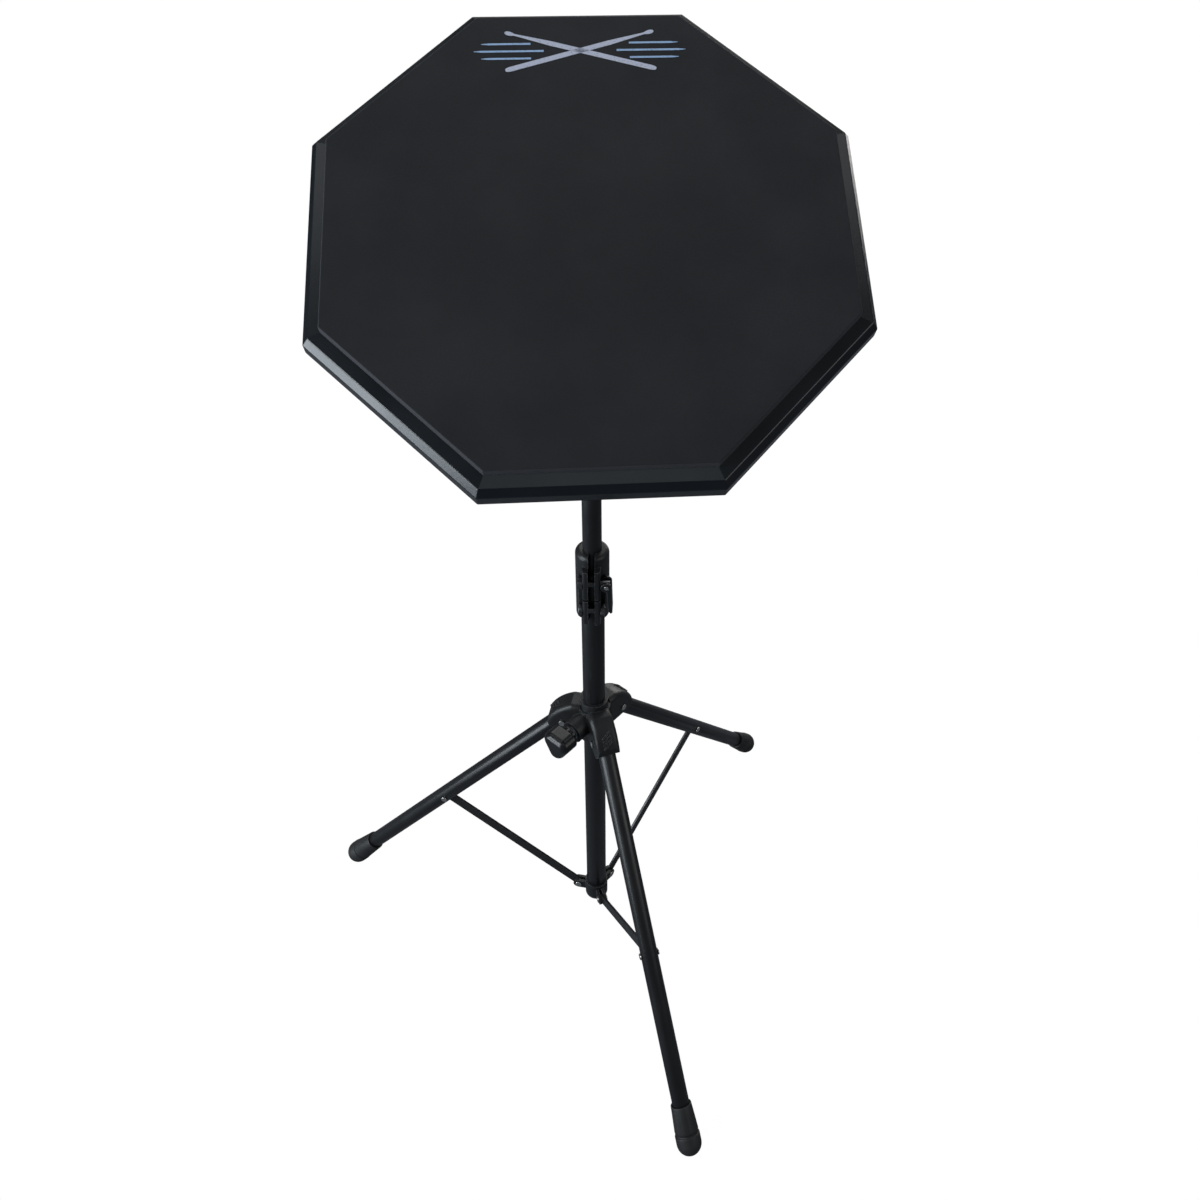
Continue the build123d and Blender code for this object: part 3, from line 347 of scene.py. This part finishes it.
def make_moulded_plastic(name, dark, light, roughness, grain_scale, grain_strength):
    """Black moulded nylon: spark-eroded grain, soft flow clouds, and edges painted lighter, partly as rubbed
    nylon and partly as a painted rim highlight.
    """
    rubbed_nylon_and_rim_highlight = (0.170, 0.175, 0.185)
    s = Shader(name)
    grain = s.cells(grain_scale)
    flow = s.noise(55.0, 3.0, 0.6, s.stretched((1.0, 1.0, 2.5)))
    scratches = s.noise(800.0, 2.0, 0.5, s.stretched((1.0, 9.0, 1.0), (0.5, 0.3, 0.7)))
    edge = s.edges(0.6)
    colour = s.blend(s.spread(flow), dark, light)
    # edges painted light grey: partly rubbed nylon, partly a painted rim highlight that makes the hood's
    # rims and ribs stand out
    rubbed_and_rim_lit_edges = s.times(edge, s.band(s.noise(420.0, 3.0), 0.36, 0.58, 0.25, 1.0))
    colour = s.blend(s.times(rubbed_and_rim_lit_edges, 0.75), colour, rubbed_nylon_and_rim_highlight)
    rough = s.spread(flow, *roughness)
    rough = s.plus(rough, s.times(s.band(scratches, 0.66, 0.76), 0.12))
    relief = s.relief(grain, 70, grain_strength)
    relief = s.relief(s.noise(0.35 * grain_scale), 50, 0.6 * grain_strength, relief)
    relief = s.relief(flow, 300, 0.12, relief)
    return s.finish_with(Base_Color=colour, Roughness=rough, Normal=relief, Specular_IOR_Level=0.42)


def make_foot_rubber():
    """Black foot rubber with a fine grain, greyed by dust on its sole."""
    dark = (0.0100, 0.0100, 0.0110)
    light = (0.0190, 0.0190, 0.0200)
    dust = (0.085, 0.080, 0.074)
    s = Shader("foot_rubber")
    ragged_height = s.plus(s.height(), s.times(s.noise(300.0, 3.0), 4 * MM))
    dusty = s.band(ragged_height, 1.5 * MM, 6 * MM, 1.0, 0.0)
    speck = s.noise(1100.0)
    cloud = s.noise(60.0, 3.0)
    colour = s.blend(s.spread(cloud), dark, light)
    colour = s.blend(s.times(dusty, 0.45), colour, dust)
    rough = s.spread(speck, 0.48, 0.62)
    relief = s.relief(s.cells(1300.0), 50, 0.5)
    relief = s.relief(cloud, 300, 0.15, relief)
    return s.finish_with(Base_Color=colour, Roughness=rough, Normal=relief, Specular_IOR_Level=0.45)


def make_plated(name, bright, dull, roughness, spangle):
    """Plated metal: clouded plating, fine turning marks and darker film in random patches."""
    s = Shader(name)
    cloud = s.noise(spangle, 3.0, 0.6)
    marks = s.noise(2600.0, 2.0, 0.5, s.stretched((1.0, 1.0, 12.0), (0.9, 0.4, 0.2)))
    film = s.band(s.noise(spangle * 0.3), 0.45, 0.75, 0.0, 0.6)
    colour = s.blend(cloud, dull, bright)
    colour = s.blend(film, colour, scaled(dull, 0.72))
    rough = s.plus(s.spread(cloud, *roughness), s.times(marks, 0.08))
    relief = s.relief(marks, 20, 0.35)
    return s.finish_with(Base_Color=colour, Metallic=1.0, Roughness=rough, Normal=relief)


def make_nylon():
    """Black nylon of the sliding and turning bearings, with a waxy, slightly cloudy surface."""
    dark = (0.022, 0.022, 0.023)
    light = (0.040, 0.040, 0.041)
    s = Shader("nylon")
    colour = s.blend(s.noise(180.0, 3.0), dark, light)
    rough = s.spread(s.noise(700.0), 0.38, 0.52)
    return s.finish_with(Base_Color=colour, Roughness=rough, Normal=s.relief(s.noise(900.0), 30, 0.4))


materials = {
    "pad_rubber": make_pad_rubber(),
    "board_lacquer": make_board_lacquer(),
    "black_tube": make_black_tube("black_tube", (0.0, 0.0, 0.0)),
    "black_strip": make_black_strip(),
    "foot_rubber": make_foot_rubber(),
    "nylon": make_nylon(),
}

# name: dark colour, light colour, roughness from and to, grain scale, grain strength
plastics = {
    "frame_plastic": ((0.0090, 0.0094, 0.0104), (0.0145, 0.0150, 0.0162), (0.36, 0.50), 1300.0, 0.55),
    "gloss_knob": ((0.0060, 0.0062, 0.0070), (0.0085, 0.0088, 0.0098), (0.21, 0.29), 2400.0, 0.05),
}
for name, recipe in plastics.items():
    materials[name] = make_moulded_plastic(name, *recipe)

# name: bright colour, dull colour, roughness from and to, scale of the clouds
metals = {
    "nickel_rivet": ((0.74, 0.72, 0.68), (0.56, 0.55, 0.53), (0.16, 0.28), 500.0),
    "zinc_steel": ((0.66, 0.69, 0.74), (0.46, 0.48, 0.52), (0.26, 0.42), 420.0),
    "black_bolt": ((0.200, 0.205, 0.220), (0.100, 0.102, 0.110), (0.24, 0.38), 420.0),
    "brass_insert": ((0.78, 0.58, 0.27), (0.58, 0.40, 0.17), (0.22, 0.38), 350.0),
}
for name, recipe in metals.items():
    materials[name] = make_plated(name, *recipe)

# each leg has its own enamel, so that the scuffs run along its tube
for leg, azimuth in enumerate(LEG_AZIMUTHS, start=1):
    lean = Matrix.Rotation(math.radians(azimuth), 3, "Z") @ Matrix.Rotation(-LEG_ANGLE, 3, "Y")
    name = f"leg_enamel_{leg}"
    materials[name] = make_black_tube(name, tuple(lean.to_euler()))


# ---------------------------------------------------------------- finish of the CAD nodes

# node: its material, and the radius in millimetres that breaks its sharp edges
finish_of = {
    "board": ("board_lacquer", 0.45),
    "rubber_sheet": ("pad_rubber", 0.0),
    "threaded_insert": ("brass_insert", 0.25),
    "mounting_stud": ("zinc_steel", 0.3),
    "lock_nut": ("zinc_steel", 0.3),
    "mounting_washer": ("zinc_steel", 0.2),
    "tilt_head": ("frame_plastic", 0.5),
    "tilt_fork": ("frame_plastic", 0.5),
    "fork_rivet": ("nickel_rivet", 0.3),
    "tilt_bolt": ("zinc_steel", 0.35),
    "friction_washers": ("nylon", 0.0),
    "tilt_washer": ("zinc_steel", 0.2),
    "tilt_knob": ("gloss_knob", 0.0),
    "upper_tube": ("black_tube", 0.25),
    "glide_bush": ("nylon", 0.3),
    "lower_tube": ("black_tube", 0.25),
    "clamp_collar": ("frame_plastic", 0.4),
    "cam_bolt": ("black_bolt", 0.4),
    "cam_pin": ("nickel_rivet", 0.25),
    "pinch_bolt": ("black_bolt", 0.4),
    "pinch_nut": ("black_bolt", 0.25),
    "clamp_lever": ("gloss_knob", 0.5),
    "hub": ("frame_plastic", 0.45),
    "captive_nut": ("zinc_steel", 0.25),
    "hub_knob": ("gloss_knob", 0.0),
    "knob_stud": ("zinc_steel", 0.25),
    "pressure_tip": ("nylon", 0.2),
    "spider": ("frame_plastic", 0.4),
    "spider_rivets": ("nickel_rivet", 0.4),
}
for leg in (1, 2, 3):
    finish_of[f"leg_tube_{leg}"] = (f"leg_enamel_{leg}", 0.25)
    finish_of[f"leg_plug_{leg}"] = ("nylon", 0.3)
    finish_of[f"pivot_pin_{leg}"] = ("nickel_rivet", 0.4)
    finish_of[f"brace_rivet_{leg}"] = ("nickel_rivet", 0.4)
    finish_of[f"rubber_foot_{leg}"] = ("foot_rubber", 0.4)
    finish_of[f"brace_{leg}"] = ("black_strip", 0.3)

WELD_DISTANCE = 2 * MICRON
FLAT_WITHIN = math.radians(0.6)  # faces closer than this in direction are joined into one
SHARP_FROM = math.radians(32)
ROUNDING_STEPS = 3


def break_edges(shown, radius):
    """Join the flat faces of a node and round its sharp edges."""
    weld = shown.modifiers.new("weld", "WELD")
    weld.merge_threshold = WELD_DISTANCE
    flatten = shown.modifiers.new("flatten", "DECIMATE")
    flatten.decimate_type = "DISSOLVE"
    flatten.angle_limit = FLAT_WITHIN
    rounding = shown.modifiers.new("rounding", "BEVEL")
    rounding.width = radius
    rounding.segments = ROUNDING_STEPS
    rounding.limit_method = "ANGLE"
    rounding.angle_limit = SHARP_FROM
    rounding.use_clamp_overlap = True
    rounding.harden_normals = True


for name, (finish, edge_radius) in finish_of.items():
    shown = nodes[name]
    shown.data.materials.clear()
    shown.data.materials.append(materials[finish])
    if edge_radius:
        break_edges(shown, edge_radius * MM)


# ---------------------------------------------------------------- new pieces


def mesh_from(mesh, name):
    """Finished mesh data from an edit mesh."""
    made = bpy.data.meshes.new(name)
    mesh.to_mesh(made)
    mesh.free()
    return made


def add_object(name, data):
    """Put an object in the scene."""
    made = bpy.data.objects.new(name, data)
    bpy.context.scene.collection.objects.link(made)
    return made


def add_piece(name, mesh, material, body):
    """Put an edit mesh in the scene as a flat-shaded piece that rides on a body."""
    piece = add_object(name, mesh_from(mesh, name))
    piece.data.materials.append(material)
    for face in piece.data.polygons:
        face.use_smooth = False
    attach(piece, body)


# ---------------------------------------------------------------- screw threads

KNOB_THREAD_REACH = 23.5 * MM  # from the column's axis to the start of the bare thread
PAD_THREAD_RISE = 7.6 * MM  # above the tilt pivot
TILT_THREAD_REACH = 19.5 * MM  # to the right of the tilt pivot
PINCH_THREAD_GAP = 0.2 * MM  # beyond the ear
THREAD_STEPS = 40  # to each turn
# the ridge's side view: share of the pitch along the screw, share of the depth under the crest
THREAD_RIDGE = ((0.0, 1.0), (0.42, 0.0), (0.58, 0.0), (1.0, 1.0))


def thread(start, axis, length, radius, pitch, depth):
    """Helical screw thread around a shank, its crests at the given radius, fading in and out."""
    side = axis.orthogonal().normalized()
    other = axis.cross(side)
    last = (int(length / pitch) - 1) * THREAD_STEPS
    mesh = bmesh.new()
    rings = []
    for step in range(last + 1):
        turn = 2 * math.pi * step / THREAD_STEPS
        fade = min(1.0, step / THREAD_STEPS, (last - step) / THREAD_STEPS)
        ray = side * math.cos(turn) + other * math.sin(turn)
        ring = []
        for along, drop in THREAD_RIDGE:
            rise = pitch * (step / THREAD_STEPS + along)
            reach = radius - depth + depth * (1.0 - drop) * fade
            ring.append(mesh.verts.new(start + axis * rise + ray * reach))
        rings.append(ring)
    for ring, following in zip(rings, rings[1:]):
        for corner in range(len(THREAD_RIDGE) - 1):
            mesh.faces.new((ring[corner], ring[corner + 1], following[corner + 1], following[corner]))
    return mesh


knob_axis = outward(KNOB_AZIMUTH)
bolt_axis = outward(CLAMP_FACING + 90)
tilt_axis = Vector((1, 0, 0))
knob_stud_start = above_floor(KNOB_HEIGHT) + knob_axis * KNOB_THREAD_REACH
pad_stud_start = TILT_PIVOT + PAD_UP * PAD_THREAD_RISE
tilt_bolt_start = TILT_PIVOT + tilt_axis * TILT_THREAD_REACH
pinch_bolt_start = (above_floor(PINCH_BOLT_HEIGHT) + outward(CLAMP_FACING) * PINCH_BOLT_REACH
                    + bolt_axis * (CLAMP_EAR_WIDTH + PINCH_THREAD_GAP))
threads = (
    # name, start, axis, length, radius, pitch and depth in millimetres, body, material
    ("knob_stud_thread", knob_stud_start, knob_axis, (6.4, 3.12, 1.0, 0.5), "knob", "zinc_steel"),
    ("mounting_stud_thread", pad_stud_start, PAD_UP, (10.0, 4.04, 1.25, 0.6), "pad", "zinc_steel"),
    ("tilt_bolt_thread", tilt_bolt_start, tilt_axis, (7.6, 3.02, 1.0, 0.5), "mast", "zinc_steel"),
    ("pinch_bolt_thread", pinch_bolt_start, bolt_axis, (3.4, 2.52, 0.8, 0.4), "column", "black_bolt"),
)
for name, start, axis, sizes, body, finish in threads:
    mesh = thread(start, axis, *(size * MM for size in sizes))
    add_piece(name, mesh, materials[finish], body)


# ---------------------------------------------------------------- printed emblem, in millimetres

EMBLEM_MIDDLE = 111.5  # up the slope from the pad's middle
INK_HEIGHT = 0.06 * MM  # of the print over the rubber
STICK_REACH = 41.0  # to each side of the emblem's middle
STICK_RISE = 13.0
STICK_WIDTH = 3.2
LINE_SPACING = 5.0
LINE_WIDTH = 1.3
LINE_POINT_WIDTH = 0.3
LINE_POINT_LENGTH = 4.0
LINE_ENDS = ((27.0, 54.0), (20.0, 58.0), (27.0, 54.0))  # near and far end of each line, top to bottom
# share of a stick's length from its tip, and its width there as a share of the shaft's
STICK_SHAPE = ((0.0, 0.35), (0.012, 0.75), (0.03, 0.85), (0.048, 0.7), (0.062, 0.4), (0.08, 0.42),
               (0.30, 1.0), (0.97, 1.0), (0.99, 0.8), (1.0, 0.45))


def flat_strip(mesh, line, widths):
    """Flat ribbon on the rubber along a line of pad coordinates, with a width at each point."""
    left, right = [], []
    last = len(line) - 1
    for number, (x, y) in enumerate(line):
        before = line[max(0, number - 1)]
        after = line[min(last, number + 1)]
        way = Vector((after[0] - before[0], after[1] - before[1])).normalized()
        half = widths[number] / 2
        left.append(mesh.verts.new(on_pad((x - way.y * half) * MM, (y + way.x * half) * MM, INK_HEIGHT)))
        right.append(mesh.verts.new(on_pad((x + way.y * half) * MM, (y - way.x * half) * MM, INK_HEIGHT)))
    for number in range(last):
        mesh.faces.new((left[number], right[number], right[number + 1], left[number + 1]))


def draw_stick(mesh, side):
    """Drumstick as one ribbon, from its bead at the top of one side to its butt at the foot of the other."""
    line = []
    for share, _ in STICK_SHAPE:
        across = 1.0 - 2.0 * share
        line.append((side * STICK_REACH * across, EMBLEM_MIDDLE + STICK_RISE * across))
    flat_strip(mesh, line, [STICK_WIDTH * part for _, part in STICK_SHAPE])


def draw_line(mesh, side, row):
    """Short line beside the sticks, with a pointed outer end."""
    near, far = LINE_ENDS[row]
    y = EMBLEM_MIDDLE + (1 - row) * LINE_SPACING
    line = [(side * x, y) for x in (near, far - LINE_POINT_LENGTH, far)]
    flat_strip(mesh, line, (LINE_WIDTH, LINE_WIDTH, LINE_POINT_WIDTH))


ink_white = make_ink("ink_white", (0.56, 0.60, 0.74))
ink_blue = make_ink("ink_blue", (0.36, 0.53, 0.80))
sticks = bmesh.new()
lines = bmesh.new()
for side in (-1, 1):
    draw_stick(sticks, side)
    for row in range(len(LINE_ENDS)):
        draw_line(lines, side, row)
add_piece("emblem_sticks", sticks, ink_white, "pad")
add_piece("emblem_lines", lines, ink_blue, "pad")


# ---------------------------------------------------------------- floor

FLOOR_RINGS = (0.02, 4.0, 12.0, 40.0)  # radii
FLOOR_SIDES = 96
FLOOR_DROP = 0.2 * MM  # under the soles, so that they don't share a plane with it
FLOOR_GLOW_REACH = (0.6, 3.5)  # distances from the middle between which the glow grows
FLOOR_GLOW = (0.60, 0.95)
FLOOR_IN_REFLECTIONS = (0.17, 0.18, 0.20, 1.0)
FLOOR_CLEARNESS = 0.97  # share of what lies under the floor that the camera sees through it


def make_floor_material():
    """Pale seamless studio floor, glowing a little more with the distance."""
    pale = (0.86, 0.86, 0.865)
    paler = (0.89, 0.89, 0.89)
    s = Shader("studio_floor")
    colour = s.blend(s.noise(1.5), pale, paler)
    glow = s.band(s.reach_from((0, 0, 0)), *FLOOR_GLOW_REACH, *FLOOR_GLOW)
    material = s.finish_with(Base_Color=colour, Roughness=s.spread(s.noise(240.0), 0.75, 0.85),
                             Specular_IOR_Level=0.15, Emission_Color=(1.0, 1.0, 1.0, 1.0),
                             Emission_Strength=glow)
    # the object's reflections see a darker floor, so that its blacks stay black
    dim = s.add("ShaderNodeBsdfDiffuse")
    dim.inputs["Color"].default_value = FLOOR_IN_REFLECTIONS
    shown = mix_shaders(s.tree, seen_by_camera(s.tree), dim.outputs[0], s.surface.outputs[0])
    # the camera sees through it, wholly from below, so that it doesn't hide the folded legs
    from_above = s.times(seen_by_camera(s.tree), FLOOR_CLEARNESS)
    from_below = s.add("ShaderNodeNewGeometry").outputs["Backfacing"]
    clear = s.calculate("MAXIMUM", from_above, from_below)
    shown = mix_shaders(s.tree, clear, shown, s.add("ShaderNodeBsdfTransparent").outputs[0])
    s.plug(shown, s.tree.nodes["Material Output"].inputs["Surface"])
    return material


def make_floor():
    """Round level floor far larger than the object."""
    mesh = bmesh.new()
    rings = []
    for radius in FLOOR_RINGS:
        ring = []
        for side in range(FLOOR_SIDES):
            turn = 2 * math.pi * side / FLOOR_SIDES
            ring.append(mesh.verts.new((radius * math.cos(turn), radius * math.sin(turn), -FLOOR_DROP)))
        rings.append(ring)
    mesh.faces.new(rings[0])
    for inner, outer in zip(rings, rings[1:]):
        for side in range(FLOOR_SIDES):
            following = (side + 1) % FLOOR_SIDES
            mesh.faces.new((inner[side], outer[side], outer[following], inner[following]))
    floor = add_object("floor", mesh_from(mesh, "floor"))
    floor.data.materials.append(make_floor_material())


# ---------------------------------------------------------------- light

COOL = (0.90, 0.96, 1.0)
COOLER = (0.84, 0.93, 1.0)
NEUTRAL = (1.0, 1.0, 1.0)
BACKDROP = ((1.0, 1.0, 1.0, 1.0), 1.0)  # colour and strength
SURROUNDINGS_IN_REFLECTIONS = ((0.92, 0.96, 1.0, 1.0), 0.13)
lamps = (
    # name, place, aim, width and height, watts, tint
    ("key", (-2.0, -0.85, 1.6), (0, 0, 0.45), (0.9, 0.9), 32.0, COOL),
    ("window", (-1.45, -0.46, 0.32), (0, 0, 0.40), (0.9, 0.55), 12.5, COOLER),
    ("fill", (1.9, -1.1, 1.3), (0, 0, 0.4), (1.4, 1.4), 9.0, NEUTRAL),
    ("back", (0.4, 2.2, 2.2), (0, 0, 0.3), (2.0, 1.2), 18.0, NEUTRAL),
    ("low_back", (0.9, 1.9, 0.35), (0, 0, 0.5), (1.2, 0.8), 9.0, (1.0, 0.98, 0.96)),
    ("ceiling", (0, 0.55, 2.4), (0, 0.05, 0.6), (3.4, 0.6), 6.0, (0.94, 0.97, 1.0)),
    ("front", (0.1, -1.35, 2.35), (0, -0.1, 0.55), (0.9, 0.7), 1.3, COOLER),
)


def make_light(name, place, aim, size, power, tint):
    """Rectangular soft box aimed at a point."""
    data = bpy.data.lights.new(name, "AREA")
    data.shape = "RECTANGLE"
    data.size, data.size_y = size
    data.energy = power
    data.color = tint
    lamp = add_object(name, data)
    lamp.location = place
    lamp.visible_camera = False
    lamp.rotation_euler = (Vector(aim) - Vector(place)).to_track_quat("-Z", "Y").to_euler()


def make_world():
    """Even pale surroundings, dimmer in the object's own reflections."""
    world = bpy.data.worlds.new("studio")
    world.use_nodes = True
    tree = world.node_tree
    pale = tree.nodes["Background"]
    dim = tree.nodes.new("ShaderNodeBackground")
    for background, (colour, strength) in ((pale, BACKDROP), (dim, SURROUNDINGS_IN_REFLECTIONS)):
        background.inputs["Color"].default_value = colour
        background.inputs["Strength"].default_value = strength
    shown = mix_shaders(tree, seen_by_camera(tree), dim.outputs[0], pale.outputs[0])
    tree.links.new(shown, tree.nodes["World Output"].inputs["Surface"])
    bpy.context.scene.world = world


# ---------------------------------------------------------------- camera

CAMERA_PLACE = (-0.02203, -0.57466, 0.91427)
CAMERA_YAW = math.radians(4.604)
CAMERA_PITCH = math.radians(-38.71)
CAMERA_ROLL = math.radians(-0.758)
CAMERA_SENSOR = (34.5, 36.0)  # millimetres
CAMERA_LENS = 35.29
CAMERA_SHIFT = (-0.025, -0.0917)
CAMERA_RANGE = (0.02, 200.0)


def make_camera():
    """Camera at the viewpoint of the photograph."""
    ahead = Vector((math.sin(CAMERA_YAW) * math.cos(CAMERA_PITCH),
                    math.cos(CAMERA_YAW) * math.cos(CAMERA_PITCH), math.sin(CAMERA_PITCH)))
    level = Vector((math.cos(CAMERA_YAW), -math.sin(CAMERA_YAW), 0.0))
    steep = ahead.cross(level)
    right = level * math.cos(CAMERA_ROLL) + steep * math.sin(CAMERA_ROLL)
    down = steep * math.cos(CAMERA_ROLL) - level * math.sin(CAMERA_ROLL)
    data = bpy.data.cameras.new("camera")
    data.sensor_fit = "VERTICAL"
    data.sensor_width, data.sensor_height = CAMERA_SENSOR
    data.lens = CAMERA_LENS
    data.shift_x, data.shift_y = CAMERA_SHIFT
    data.clip_start, data.clip_end = CAMERA_RANGE
    camera = add_object("camera", data)
    basis = Matrix((right, -down, -ahead)).transposed().to_4x4()
    camera.matrix_world = Matrix.Translation(CAMERA_PLACE) @ basis
    bpy.context.scene.camera = camera


make_floor()
for lamp in lamps:
    make_light(*lamp)
make_camera()
make_world()
bpy.context.scene.view_settings.view_transform = "Standard"
